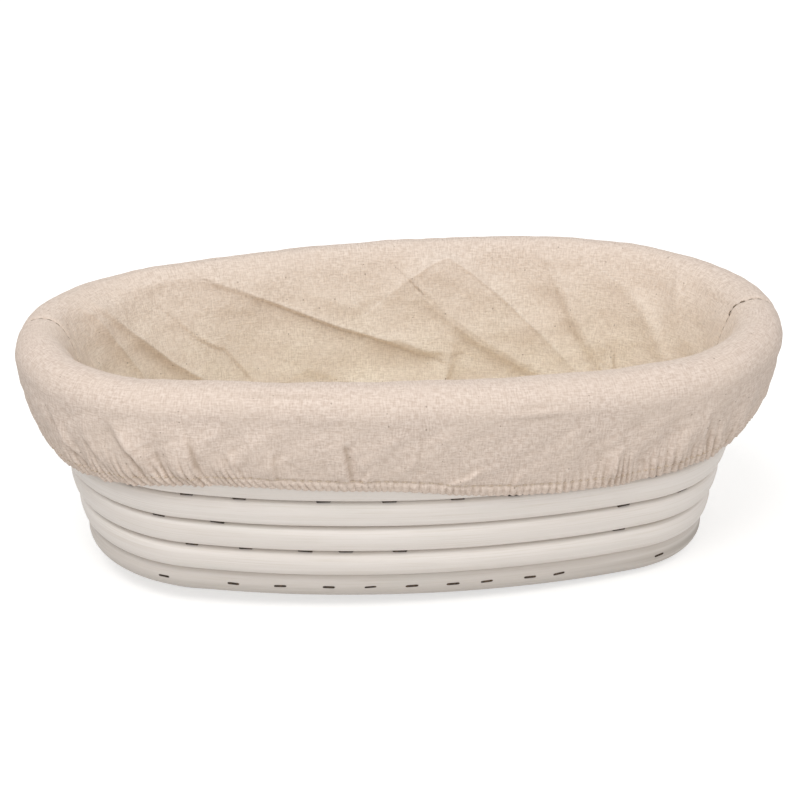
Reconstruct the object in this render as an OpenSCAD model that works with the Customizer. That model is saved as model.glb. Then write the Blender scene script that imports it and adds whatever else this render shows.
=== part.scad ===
// Oval proofing basket of coiled cane with a gathered cloth liner.
// Millimetres. The base stands on z = 0, +X runs along the length, the front faces -Y.

/* [Basket] */
// Length of the cane rim, outside
basket_length = 250; // [208:1:310]
// Width of the cane rim, outside
basket_width = 140; // [116:1:175]
// Height of the cane rim
basket_height = 81; // [62:1:110]
// Lean of the wall away from upright, degrees
wall_lean = 13.5; // [8:0.5:20]
// How much fuller each long side is than a straight one
side_bow = 9.5; // [4:0.5:11]

/* [Cane] */
// Diameter of the peeled cane
cane_d = 10.1; // [8:0.1:12.5]
// Least gap between neighbouring turns
turn_gap = 0.5; // [0.45:0.05:0.9]
// Thickness left at the shaved end of the rim turn
tail_t = 3; // [2:0.1:5]
// Length of a slanted splice between two lengths of cane
splice_length = 18; // [10:1:26]
// Gap along the cane in a splice
splice_gap = 0.7; // [0.6:0.1:1.5]

/* [Staples] */
// Width of the crown
staple_w = 5; // [4:0.1:7]
// Thickness of the wire
staple_t = 0.9; // [0.6:0.1:1.2]
// Length of the legs in a seam
seam_leg = 7; // [5:0.5:9]
// Length of the legs at the foot, through the lowest turn into the base
foot_leg = 14; // [12:0.5:16]
// Spacing along a seam
seam_pitch = 22; // [16:1:40]
// Spacing round the foot
foot_pitch = 15; // [10:1:30]

/* [Liner] */
// Thickness of the cloth
cloth_t = 0.9; // [0.6:0.1:1.2]
// Room between cloth and cane
cloth_gap = 0.6; // [0.4:0.1:1.5]
// Height of the hem edge above the table
hem_z = 49; // [40:1:56]
// Height of the hem fold
hem_fold = 5.5; // [5:0.5:12]
// Depth of the gathers at the hem
gather_depth = 1.6; // [0:0.1:3]
// Depth of the folds on the inside of the wall
wall_fold = 2.5; // [0:0.1:4]
// Gap between the two panels at their seam
panel_gap = 0.4; // [0.3:0.1:0.8]

/* [Sewing] */
// Width of the elastic
elastic_w = 2.5; // [2:0.1:5]
// Thickness of the elastic
elastic_t = 1; // [0.8:0.1:1.4]
// Thickness of the thread
thread_t = 0.5; // [0.4:0.1:0.8]
// Length of a stitch
stitch_l = 2.6; // [2:0.1:4]
// Spacing of stitches
stitch_pitch = 4; // [3.5:0.1:8]

/* [Hidden] */
r = cane_d / 2;
sides = 8;
// the underside of the base is worn flat as far as the flats of the cane
foot_z = r * cos(180 / sides);
climb = 90 - wall_lean;
deg = 180 / PI;

// turns that fit the height, and the pitch that fills it
least_pitch = cane_d + turn_gap;
room = basket_height - r - foot_z;
wall_turns = floor((room / least_pitch - sin(0.75 * climb)) / sin(climb)) + 2;
pitch = room / (sin(0.75 * climb) + (wall_turns - 2) * sin(climb));
rim_turn = wall_turns - 1.25;

// four-centred oval through the middle of the rim cane
a_mid = basket_length / 2 - r;
b_mid = basket_width / 2 - r;
end_r = b_mid - side_bow;
end_c = a_mid - end_r;
side_r = (end_c * end_c + b_mid * b_mid - end_r * end_r) / (2 * side_bow);
side_c = side_r - b_mid;
join = acos(end_c / (side_r - end_r));
end_len = end_r * 2 * join / deg;
side_len = side_r * (180 - 2 * join) / deg;
turn_len = 2 * (end_len + side_len);

// sections in one turn: an end has 8 steps and a side has 4
end_steps = 8;
side_steps = 4;
turn_steps = 2 * (end_steps + side_steps);

function on_side(k) = let (h = k % (turn_steps / 2)) h >= end_steps / 2 && h < end_steps / 2 + side_steps;
function step_len(k) = on_side(k) ? side_len / side_steps : end_len / end_steps;
len_to = [for (k = 0, s = 0; k <= turn_steps; s = s + step_len(k), k = k + 1) s];

// one turn of the coil is counted clockwise from the right end
function ring_turn(i) = let (n = floor(i / turn_steps)) n + len_to[i - n * turn_steps] / turn_len;

function half_angle(u) =
    u < end_len / 2 ? u / end_r * deg :
    u < end_len / 2 + side_len ? join + (u - end_len / 2) / side_r * deg :
    180 - (end_len + side_len - u) / end_r * deg;

function turn_angle(t) =
    let (h = floor(2 * t), u = (t - h / 2) * turn_len)
    -180 * h - half_angle(u);

function on_oval(a, out) =
    abs(sin(a)) > sin(join) ?
        [(side_r + out) * cos(a), (side_r + out) * sin(a) - sign(sin(a)) * side_c] :
        [(end_r + out) * cos(a) + sign(cos(a)) * end_c, (end_r + out) * sin(a)];

// how far the coil has grown outwards and upwards; the first wall turn rolls up over the base
function growth(t) =
    t <= 0 ? pitch * t :
    let (n = ceil(t) - 1, f = t - n) pitch * (f - 1 + cos(climb * f) + n * cos(climb));
function rise(t) =
    t <= 0 ? 0 :
    let (n = ceil(t) - 1, f = t - n) pitch * (sin(climb * f) + n * sin(climb));

function out_at(t) = growth(t) - growth(rim_turn);
function centre(t) = concat(on_oval(turn_angle(t), out_at(t)), foot_z + rise(t));

// the last turn is shaved from above so that the rim is level
function left_of(t) = t <= rim_turn ? 1 : 1 - (rise(t) - rise(rim_turn)) / cane_d;
last_turn = rim_turn + (cane_d - tail_t) / (pitch * sin(climb));
last_ring = max([for (i = [0:turn_steps * (wall_turns + 1)]) if (ring_turn(i) <= last_turn) i]);

// the base begins beside the core and is spliced to the wall at the back
first_b = max(pitch, side_bow + r + 0.3);
first_turn = (first_b + growth(rim_turn) - b_mid) / pitch;
first_ring = min([for (i = [-turn_steps * 12:0]) if (ring_turn(i) >= first_turn) i]);
base_end = -turn_steps / 4;
lower_turns = round(wall_turns / 3);
middle_turns = round(2 * wall_turns / 3);
splice_1 = turn_steps * lower_turns + base_end;
splice_2 = turn_steps * middle_turns + base_end;

// a section of the cane, slid along to make the slant of a splice
function section(i, slant, shift) =
    let (t = ring_turn(i), a = turn_angle(t), c = centre(t), h = left_of(t))
    [for (k = [0:sides - 1])
        let (
            x = r * cos(360 / sides * (k + 0.5)) * (1 + h) / 2,
            z = r * (1 + sin(360 / sides * (k + 0.5))) * h - r,
            s = shift + slant * z / r)
        c + [x * cos(a) + s * sin(a), x * sin(a) - s * cos(a), z]];

function tube_faces(n, m) = concat(
    [for (i = [0:n - 2], j = [0:m - 1]) [i * m + j, (i + 1) * m + j, i * m + (j + 1) % m]],
    [for (i = [0:n - 2], j = [0:m - 1]) [(i + 1) * m + j, (i + 1) * m + (j + 1) % m, i * m + (j + 1) % m]],
    [for (j = [1:m - 2]) [0, j, j + 1]],
    [for (j = [1:m - 2]) [(n - 1) * m, (n - 1) * m + j + 1, (n - 1) * m + j]]);

module cane_length(from, to, scarf_from, scarf_to) {
    rings = [for (i = [from:to])
        i == from && scarf_from ? section(i, splice_length / 2, splice_gap / 2) :
        i == to && scarf_to ? section(i, splice_length / 2, -splice_gap / 2) :
        section(i, 0, 0)];
    polyhedron(points = [for (g = rings) each g], faces = tube_faces(to - from + 1, sides));
}

// least gap of the coil to its next turn, measured on the points of the sections
function ring_gap(i) =
    let (p = section(i, 0, 0), q = section(i + turn_steps, 0, 0))
    min([for (u = p, v = q) norm(u - v)]);
least_gap = min([for (i = [first_ring:last_ring - turn_steps]) ring_gap(i)]);
echo(least_gap_mm = least_gap, turns_in_wall = wall_turns, pitch_mm = pitch);

// crown along the local X axis, legs into the cane along -Y
module staple(leg) {
    cube([staple_w, staple_t, staple_t], center = true);
    for (s = [-1, 1])
        translate([s * (staple_w - staple_t) / 2, -leg / 2, 0])
            cube([staple_t, leg, staple_t], center = true);
}

module at_coil(p, a, tilt) {
    translate(p) rotate([0, 0, a - 90]) rotate([tilt, 0, 0]) children();
}

// where each visible groove is stapled at the front: millimetres along it from the middle, + to the right
front_seams = [
    [],
    [-69, -52, -34, -22, -6, 63],
    [-82, -62, 65, 90],
    [-94, -73, -56, -30, -10, 11, 29, 50, 75, 100]];
front_foot = [-77, -54, -40, -26, -14, -2, 10, 20, 33, 42, 78];

// length of a turn of the coil, and the turns of a run of staples: as seen in front, even at the back,
// where the splices lie midway between two staples
function loop_len(t) = turn_len + 2 * PI * out_at(t);
function even(from, to, n) = [for (k = [0:n - 1]) from + (to - from) * (k + 0.5) / n];
function row_turns(row) =
    let (m = loop_len(row - 0.5))
    row > len(front_seams) ?
        [for (f = even(0, 1, 4 * floor(m / seam_pitch / 4))) row - 1 + f] :
        concat(
            [for (x = front_seams[row - 1]) row - 0.75 - x / m],
            [for (f = even(0.5, 1, 2 * floor(m / seam_pitch / 4))) row - 1 + f]);

// a row runs once round the groove above one turn of the wall
module seam_row(row) {
    for (t = row_turns(row))
        if (t + 1 < last_turn - 0.06) {
            a = turn_angle(t);
            m = (centre(t) + centre(t + 1)) / 2;
            o = 0.5 * r;
            p = m + [o * cos(wall_lean) * cos(a), o * cos(wall_lean) * sin(a), -o * sin(wall_lean)];
            color([0.22, 0.18, 0.15]) at_coil(p, a, 35) staple(seam_leg);
        }
}

// the core fills the middle of the first turn as far as the narrowing ends allow
core_half = sqrt(pow(side_c + first_b - r, 2) - pow(side_c + r + 0.6, 2));

module base_core() {
    color([0.92, 0.88, 0.78])
        difference() {
            translate([-core_half, 0, foot_z]) rotate([0, 90, 0]) cylinder(r = r, h = 2 * core_half);
            translate([-basket_length / 2, -r, -r]) cube([basket_length, 2 * r, r]);
        }
}

module base_cane() {
    color([0.93, 0.89, 0.80]) cane_length(first_ring, base_end, false, true);
}

module wall_cane_lower() {
    color([0.94, 0.90, 0.81]) cane_length(base_end, splice_1, true, true);
}

module wall_cane_middle() {
    color([0.93, 0.90, 0.82]) cane_length(splice_1, splice_2, true, true);
}

module wall_cane_upper() {
    color([0.94, 0.91, 0.83]) cane_length(splice_2, last_ring, true, false);
}

// one staple upwards in each groove of the base, at six places round it
module base_staples() {
    for (t = [ceil(first_turn * 6 + 1) / 6 : 1 / 6 : -1]) {
        a = turn_angle(t);
        m = (centre(t) + centre(t + 1)) / 2;
        color([0.22, 0.18, 0.15])
            translate([m[0], m[1], foot_z - 0.55 * r])
                rotate([0, 0, a - 90]) rotate([-65, 0, 0]) staple(seam_leg);
    }
}

module foot_staples() {
    m = loop_len(0.25);
    turns = concat(
        [for (x = front_foot) 0.25 - x / m],
        even(0.5, 1, 2 * floor(m / foot_pitch / 4)));
    for (t = turns) {
        a = turn_angle(t);
        o = r - staple_t / 2;
        color([0.22, 0.18, 0.15])
            at_coil(centre(t) + [o * cos(a), o * sin(a), 0], a, climb / 2 * t) staple(foot_leg);
    }
}

// the rows over the lower, middle and upper length of the wall
module seam_staples_lower() {
    for (row = [1:lower_turns]) seam_row(row);
}

module seam_staples_middle() {
    for (row = [lower_turns + 1:middle_turns]) seam_row(row);
}

module seam_staples_upper() {
    for (row = [middle_turns + 1:wall_turns - 1]) seam_row(row);
}

// two staples over each slanted splice of the wall
module splice_staples() {
    for (i = [base_end, splice_1, splice_2], s = [-1, 1]) {
        t = ring_turn(i) + s * splice_length / 4 / turn_len;
        a = turn_angle(t);
        o = r - staple_t / 2;
        color([0.22, 0.18, 0.15])
            at_coil(centre(t) + [o * cos(a), o * sin(a), 0], a, 0) staple(seam_leg);
    }
}

// middle of the wall cane at a height, as a distance from the rim oval
function wall_out(z) = out_at(0) + (z - foot_z) * tan(wall_lean);
wall_room = 1.5;
inner_off = (r + cloth_gap + cloth_t / 2) / cos(wall_lean);
layer_off = (r + wall_room + cloth_gap + cloth_t / 2) / cos(wall_lean);
band_off = layer_off + cloth_t / 2 + 0.5 + elastic_t / 2;
outer_off = layer_off + cloth_t + 1 + elastic_t;
floor_z = foot_z + r + cloth_gap + cloth_t / 2;
rim_z = basket_height - r;
// the line of stitches that closes the hem fold over the elastic
stitch_z = hem_z + hem_fold - 1.5;
rim_roll = r + wall_room + cloth_gap;
// the cloth is a little slack on the inside of the rim
rim_slack = rim_roll + 0.8;

// the cloth in section from the bottom of the wall to the fold of the hem:
// distance from the rim oval, height, and share of the gathers
profile = [
    [wall_out(floor_z) - inner_off - 5, floor_z, 0],
    [wall_out(floor_z + 6) - inner_off, floor_z + 6, 0],
    [wall_out(rim_z / 2 + 6) - inner_off, rim_z / 2 + 6, -1],
    [0.3 + rim_slack * cos(178), rim_z + rim_slack * sin(178), 0],
    [0.3 + rim_slack * cos(134), rim_z + rim_slack * sin(134), 0],
    [0.3, rim_z + rim_roll, 0],
    [0.3 + rim_roll * cos(46), rim_z + rim_roll * sin(46), 0],
    [0.3 + rim_roll, rim_z, 0],
    [wall_out(hem_z + 16) + outer_off + 0.6, hem_z + 16, 0.5],
    [wall_out(hem_z + hem_fold) + outer_off, hem_z + hem_fold, 0.8],
    [wall_out(hem_z) + outer_off, hem_z, 1],
    [wall_out(hem_z) + layer_off, hem_z, 1],
    [wall_out(hem_z + hem_fold - 1) + layer_off, hem_z + hem_fold - 1, 1]];
rows = len(profile);

// columns of the cloth on one half of the oval
columns = 30;
function gather(j) = j % 2 == 0 ? 0 : gather_depth;
function fold(j) = j % 5 == 3 ? wall_fold : 0;
function cloth_out(j, k) =
    let (g = profile[k])
    g[0] + (g[2] > 0 ? g[2] * gather(j) : g[2] * fold(j));

function cloth_mid(j, k) =
    let (a = turn_angle(j / columns / 2), q = on_oval(a, cloth_out(j, k)))
    [q[0], q[1], profile[k][1]];

// the side of the cloth away from the cane, on the section
function cloth_up(j, k) =
    let (
        a = turn_angle(j / columns / 2),
        n = profile[min(k + 1, rows - 1)],
        p = profile[max(k - 1, 0)],
        d = k == 0 ? [1, 0] : [n[0] - p[0], n[1] - p[1]] / norm([n[0] - p[0], n[1] - p[1]]))
    [-d[1] * cos(a), -d[1] * sin(a), d[0]];

function cloth_skin(s) = [for (j = [0:columns]) each concat(
    [let (q = cloth_mid(j, 0)) [0.96 * q[0], 0, floor_z + s * cloth_t / 2]],
    [for (k = [0:rows - 1]) cloth_mid(j, k) + s * cloth_t / 2 * cloth_up(j, k)])];

// two skins, joined round their edges; the diagonals run away from the ends
function quad(a, b, c, d, first) = first ? [[a, b, c], [a, c, d]] : [[a, b, d], [b, c, d]];
function sheet_faces(n, m) =
    let (b = n * m)
    concat(
        [for (i = [0:n - 2], j = [0:m - 2])
            let (p = i * m + j, q = p + m)
            each concat(
                quad(p, p + 1, q + 1, q, i < n / 2),
                quad(b + p, b + q, b + q + 1, b + p + 1, i < n / 2))],
        [for (i = [0:n - 2])
            let (p = i * m, q = p + m, e = m - 1)
            each [[p, q, b + p], [q, b + q, b + p], [p + e, b + p + e, q + e], [q + e, b + p + e, b + q + e]]],
        [for (j = [0:m - 2])
            let (e = (n - 1) * m + j)
            each [[j, b + j, j + 1], [j + 1, b + j, b + j + 1], [e, e + 1, b + e], [e + 1, b + e + 1, b + e]]]);

module panel() {
    translate([0, -panel_gap / 2, 0])
        polyhedron(
            points = concat(cloth_skin(1), cloth_skin(-1)),
            faces = sheet_faces(columns + 1, rows + 1));
}

module liner_front_panel() {
    color([0.86, 0.81, 0.73]) panel();
}

module liner_back_panel() {
    color([0.87, 0.82, 0.74]) rotate([0, 0, 180]) panel();
}

// flat band gathered with the hem, one closed ring through both panels
module hem_elastic() {
    z = (hem_z + stitch_z) / 2;
    h = elastic_w / 2;
    n = 2 * columns;
    corners = [[-1, -1], [1, -1], [1, 1], [-1, 1]];
    points = [for (j = [0:n - 1], c = corners)
        let (
            a = turn_angle(j / n),
            q = on_oval(a, wall_out(z + c[1] * h) + band_off + c[0] * elastic_t / 2 + gather(j)))
        [q[0], q[1], z + c[1] * h]];
    color([0.90, 0.89, 0.86])
        polyhedron(points = points, faces = concat(
            [for (i = [0:n - 1], j = [0:3])
                [i * 4 + j, (i + 1) % n * 4 + j, i * 4 + (j + 1) % 4]],
            [for (i = [0:n - 1], j = [0:3])
                [(i + 1) % n * 4 + j, (i + 1) % n * 4 + (j + 1) % 4, i * 4 + (j + 1) % 4]]));
}

// stitches over both ends of the liner and along its bottom
module liner_seam_thread() {
    color([0.45, 0.40, 0.34]) {
        for (side = [0, 180], k = [0:rows - 4]) {
            p = cloth_mid(0, k);
            q = cloth_mid(0, k + 1);
            count = max(1, floor(norm(q - p) / stitch_pitch));
            for (m = [0:count - 1]) {
                c = p + (q - p) * (m + 0.5) / count;
                rotate([0, 0, side]) translate(c) rotate([0, -atan2(q[2] - p[2], q[0] - p[0]), 0])
                    cube([stitch_l, 2 * thread_t + panel_gap, cloth_t + thread_t], center = true);
            }
        }
        run = 2 * 0.95 * cloth_mid(0, 0)[0];
        count = floor(run / stitch_pitch / 1.5);
        for (m = [0:count - 1])
            translate([run * ((m + 0.5) / count - 0.5), 0, floor_z])
                cube([stitch_l, 2 * thread_t + panel_gap, cloth_t + thread_t], center = true);
    }
}

// stitches round the top of the hem fold
module hem_thread() {
    z = stitch_z;
    n = 4 * columns;
    color([0.62, 0.56, 0.48])
        for (j = [0:n - 1]) {
            a = turn_angle((j + 0.5) / n);
            u = 2 * (j + 0.5) / 4;
            g = 0.8 * (gather(floor(u)) + (gather(floor(u) + 1) - gather(floor(u))) * (u - floor(u)));
            q = on_oval(a, wall_out(z) + outer_off + g);
            translate([q[0], q[1], z]) rotate([0, 0, a - 90])
                cube([stitch_l, cloth_t + thread_t, thread_t], center = true);
        }
}

base_core();
base_cane();
wall_cane_lower();
wall_cane_middle();
wall_cane_upper();
base_staples();
foot_staples();
splice_staples();
seam_staples_lower();
seam_staples_middle();
seam_staples_upper();
liner_front_panel();
liner_back_panel();
hem_elastic();
liner_seam_thread();
hem_thread();
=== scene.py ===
import math

import bpy
import numpy as np
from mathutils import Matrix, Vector


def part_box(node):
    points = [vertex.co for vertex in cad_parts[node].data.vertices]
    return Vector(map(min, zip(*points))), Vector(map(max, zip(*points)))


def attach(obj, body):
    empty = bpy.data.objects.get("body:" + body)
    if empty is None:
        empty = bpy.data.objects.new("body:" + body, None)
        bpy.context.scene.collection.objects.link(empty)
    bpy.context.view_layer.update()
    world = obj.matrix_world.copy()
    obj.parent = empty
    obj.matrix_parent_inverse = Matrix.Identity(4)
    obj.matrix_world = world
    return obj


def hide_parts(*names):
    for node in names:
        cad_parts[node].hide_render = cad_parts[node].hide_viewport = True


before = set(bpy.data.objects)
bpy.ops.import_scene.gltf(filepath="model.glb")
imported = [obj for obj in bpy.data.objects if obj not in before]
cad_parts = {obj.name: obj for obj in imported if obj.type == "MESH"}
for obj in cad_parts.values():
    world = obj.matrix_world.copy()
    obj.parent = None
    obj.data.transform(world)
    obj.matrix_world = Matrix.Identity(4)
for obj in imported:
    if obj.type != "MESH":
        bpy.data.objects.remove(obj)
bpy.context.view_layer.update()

# The core is a straight stick of peeled rattan, 10 mm thick, in the middle of the bottom. It is cut
# square at both ends, and lies inside the first turn of the coil, which is wound round it.


def linear(colour):
    parts = [int(colour[i : i + 2], 16) / 255 for i in (1, 3, 5)]
    return (*[p / 12.92 if p <= 0.04045 else ((p + 0.055) / 1.055) ** 2.4 for p in parts], 1)


def add(tree, kind, inputs=None, **settings):
    made = tree.nodes.new(kind)
    for name, value in settings.items():
        setattr(made, name, value)
    for name, value in (inputs or {}).items():
        if isinstance(value, bpy.types.NodeSocket):
            tree.links.new(value, made.inputs[name])
        else:
            made.inputs[name].default_value = value
    return made


def bare_material(name):
    material = bpy.data.materials.new(name)
    material.use_nodes = True
    material.node_tree.nodes.clear()
    return material, material.node_tree


# Rattan core, peeled, bleached and sanded: ivory, with fine fibres along the cane, broader pale and
# straw-coloured streaks, a few grey patches, and a satin surface, with shade painted darker into the grooves.
rattan, tree = bare_material("bleached_rattan_core")
grain = add(tree, "ShaderNodeUVMap", uv_map="grain").outputs["UV"]
# fibres 25 mm long and 0.4 mm wide, streaks 110 mm by 2.5 mm, and grey patches 45 mm by 17 mm
fibre_place = add(tree, "ShaderNodeVectorMath", {0: grain, 1: (40, 2500, 1)}, operation="MULTIPLY").outputs[0]
streak_place = add(tree, "ShaderNodeVectorMath", {0: grain, 1: (9, 400, 1)}, operation="MULTIPLY").outputs[0]
cloud_place = add(tree, "ShaderNodeVectorMath", {0: grain, 1: (22, 60, 1)}, operation="MULTIPLY").outputs[0]
fibre = add(tree, "ShaderNodeTexNoise", {"Vector": fibre_place, "Scale": 1, "Detail": 3}).outputs["Fac"]
streak = add(tree, "ShaderNodeTexNoise", {"Vector": streak_place, "Scale": 1, "Detail": 2}).outputs["Fac"]
cloud = add(tree, "ShaderNodeTexNoise", {"Vector": cloud_place, "Scale": 1, "Detail": 3}).outputs["Fac"]
streak_part = add(tree, "ShaderNodeMapRange", {"Value": streak, 1: 0.38, 2: 0.68, 3: 0, 4: 1}).outputs[0]
fibre_part = add(tree, "ShaderNodeMapRange", {"Value": fibre, 1: 0.5, 2: 0.75, 3: 0, 4: 0.7}).outputs[0]
cloud_part = add(tree, "ShaderNodeMapRange", {"Value": cloud, 1: 0.55, 2: 0.78, 3: 0, 4: 0.5}).outputs[0]
# painted shade: the cane is darkened towards #6E5F4C in the grooves between turns, on the upper shoulder of
# each turn under the one above, on the sides of the core stick, and all over the turn that stands on the
# table
groove = add(tree, "ShaderNodeAttribute", attribute_name="groove").outputs["Fac"]
groove_part = add(tree, "ShaderNodeMapRange", {"Value": groove, 1: 0.72, 2: 0.94, 3: 0, 4: 0.55}).outputs[0]
pale = add(
    tree, "ShaderNodeMix", {0: streak_part, 6: linear("#EEE7E1"), 7: linear("#E7DFD8")}, data_type="RGBA"
).outputs[2]
fibrous = add(
    tree, "ShaderNodeMix", {0: fibre_part, 6: pale, 7: linear("#DDD3C7")}, data_type="RGBA"
).outputs[2]
patchy = add(
    tree, "ShaderNodeMix", {0: cloud_part, 6: fibrous, 7: linear("#E3E0D9")}, data_type="RGBA"
).outputs[2]
painted_shade_colour = add(
    tree, "ShaderNodeMix", {0: groove_part, 6: patchy, 7: linear("#6E5F4C")}, data_type="RGBA"
).outputs[2]
satin = add(tree, "ShaderNodeMapRange", {"Value": fibre, 1: 0.3, 2: 0.7, 3: 0.5, 4: 0.68}).outputs[0]
ridges = add(tree, "ShaderNodeBump", {"Strength": 0.35, "Distance": 0.00012, "Height": fibre}).outputs[0]
skin = add(
    tree, "ShaderNodeBsdfPrincipled", {"Base Color": painted_shade_colour, "Roughness": satin, "Normal": ridges, "IOR": 1.5}
)
add(tree, "ShaderNodeOutputMaterial", {"Surface": skin.outputs[0]})


def eased(value, low, high):
    s = np.clip((value - low) / (high - low), 0, 1)
    return s * s * (3 - 2 * s)


def make_piece(name, points, faces, material, body, nodes, uv=None, uv_name="grain", groove=None):
    """A smooth mesh from points in millimetres, placed in the frame and given to a body."""
    mesh = bpy.data.meshes.new(name)
    # below the rim the ends of the real basket are drawn in two or three millimetres, and so is its foot
    x, y, z = np.asarray(points).T
    foot_part = 1 - eased(z, 4, 17)
    drawn_left = 3 * (1 - eased(z, 38, 72)) * eased(-x, 40, 118)
    drawn_right = 2.2 * (1 - eased(z, 25, 62)) * eased(x, 40, 118)
    points = np.stack([x + drawn_left - drawn_right, y * (1 - 0.035 * foot_part), z], 1)
    mesh.from_pydata((points * 0.001).tolist(), [], faces)
    if uv is not None:
        corner = np.empty(len(mesh.loops), np.int32)
        mesh.loops.foreach_get("vertex_index", corner)
        layer = mesh.uv_layers.new(name=uv_name)
        layer.data.foreach_set("uv", (np.asarray(uv) * 0.001)[corner].ravel())
    if groove is not None:
        painted_shade_layer = mesh.attributes.new("groove", "FLOAT", "POINT")
        painted_shade_layer.data.foreach_set("value", np.asarray(groove, np.float32))
    mesh.polygons.foreach_set("use_smooth", np.ones(len(mesh.polygons), bool))
    mesh.materials.append(material)
    piece = bpy.data.objects.new(name, mesh)
    bpy.context.scene.collection.objects.link(piece)
    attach(piece, body)
    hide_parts(*nodes)
    return piece


def swept(rings, closed=False):
    """Faces of a tube whose sections are rings of points, with a cut face at each open end."""
    count, sides = rings.shape[:2]
    i, j = np.meshgrid(np.arange(count if closed else count - 1), np.arange(sides), indexing="ij")
    n, k = (i + 1) % count, (j + 1) % sides
    faces = np.stack([i * sides + j, i * sides + k, n * sides + k, n * sides + j], -1).reshape(-1, 4).tolist()
    if not closed:
        faces += [list(range(sides))[::-1], [(count - 1) * sides + m for m in range(sides)]]
    return faces


# the stick lies along X, flattened underneath where the basket stands on it
core_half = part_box("base_core")[1].x * 1000
core_ends = np.array([-1, -0.996, -0.985, *np.linspace(-0.96, 0.96, 60), 0.985, 0.996, 1]) * core_half
core_fat = np.array([4.5, 4.85, 5.02, *(5.05 + 0.05 * np.sin(np.linspace(0, 9, 60))), 5.02, 4.85, 4.5])
around = np.linspace(0, 2 * np.pi, 28, endpoint=False)
core_rings = np.stack(
    [
        np.repeat(core_ends[:, None], 28, 1),
        core_fat[:, None] * np.cos(around),
        np.maximum(4.67 + core_fat[:, None] * np.sin(around), 0.0),
    ],
    -1,
)
core_uv = np.stack(np.broadcast_arrays(core_ends[:, None] + 900, around * 5), -1)
make_piece(
    "core_stick",
    core_rings.reshape(-1, 3),
    swept(core_rings),
    rattan,
    "basket",
    ["base_core"],
    core_uv.reshape(-1, 2),
    # painted shade on both sides of the stick, where the first turn of the coil lies against it
    groove=np.abs(np.broadcast_to(np.cos(around) ** 3, (len(core_ends), 28))).ravel(),
)

# The coil is four lengths of rattan core, bent wet round an oval mould: one lies flat in the bottom
# and three rise in the wall, eight turns in all. They meet in slanted splices at the back, and the
# last turn is shaved to nothing from above, so that the rim is level.
cane_r = 5.05
foot = cane_r * math.cos(math.pi / 8)
lean = math.radians(13.5)
climb = math.pi / 2 - lean
pitch = (81 - cane_r - foot) / (math.sin(0.75 * climb) + 6 * math.sin(climb))
rim_turn = 6.75
a_mid, b_mid, bow = 119.95, 64.95, 9.5
end_r = b_mid - bow
end_c = a_mid - end_r
side_r = (end_c**2 + b_mid**2 - end_r**2) / (2 * bow)
side_c = side_r - b_mid
join = math.acos(end_c / (side_r - end_r))
end_len = end_r * 2 * join
side_len = side_r * (math.pi - 2 * join)
turn_len = 2 * (end_len + side_len)


def turn_angle(turn):
    """Direction of the oval's normal at a count of turns, clockwise from the right end."""
    half = np.floor(2 * turn)
    u = (turn - half / 2) * turn_len
    first = u / end_r
    second = join + (u - end_len / 2) / side_r
    third = np.pi - (end_len + side_len - u) / end_r
    within = np.where(u < end_len / 2, first, np.where(u < end_len / 2 + side_len, second, third))
    return -np.pi * half - within


def oval(angle, out):
    """X and Y on the oval of the rim, or so far outside it."""
    east, north = np.cos(angle), np.sin(angle)
    side = np.abs(north) > math.sin(join)
    x = np.where(side, (side_r + out) * east, (end_r + out) * east + np.sign(east) * end_c)
    y = np.where(side, (side_r + out) * north - np.sign(north) * side_c, (end_r + out) * north)
    return x, y


def growth(turn):
    """How far out the coil has come at a count of turns; the wall starts at turn nought."""
    n = np.ceil(turn) - 1
    f = turn - n
    wall = pitch * (f - 1 + np.cos(climb * f) + n * math.cos(climb))
    return np.where(turn <= 0, pitch * turn, wall)


def rise(turn):
    """How far up the coil has come at a count of turns."""
    n = np.ceil(turn) - 1
    wall = pitch * (np.sin(climb * (turn - n)) + n * math.sin(climb))
    return np.where(turn <= 0, 0.0, wall)


rim_growth = float(growth(np.array(rim_turn)))
rim_rise = float(rise(np.array(rim_turn)))


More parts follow.
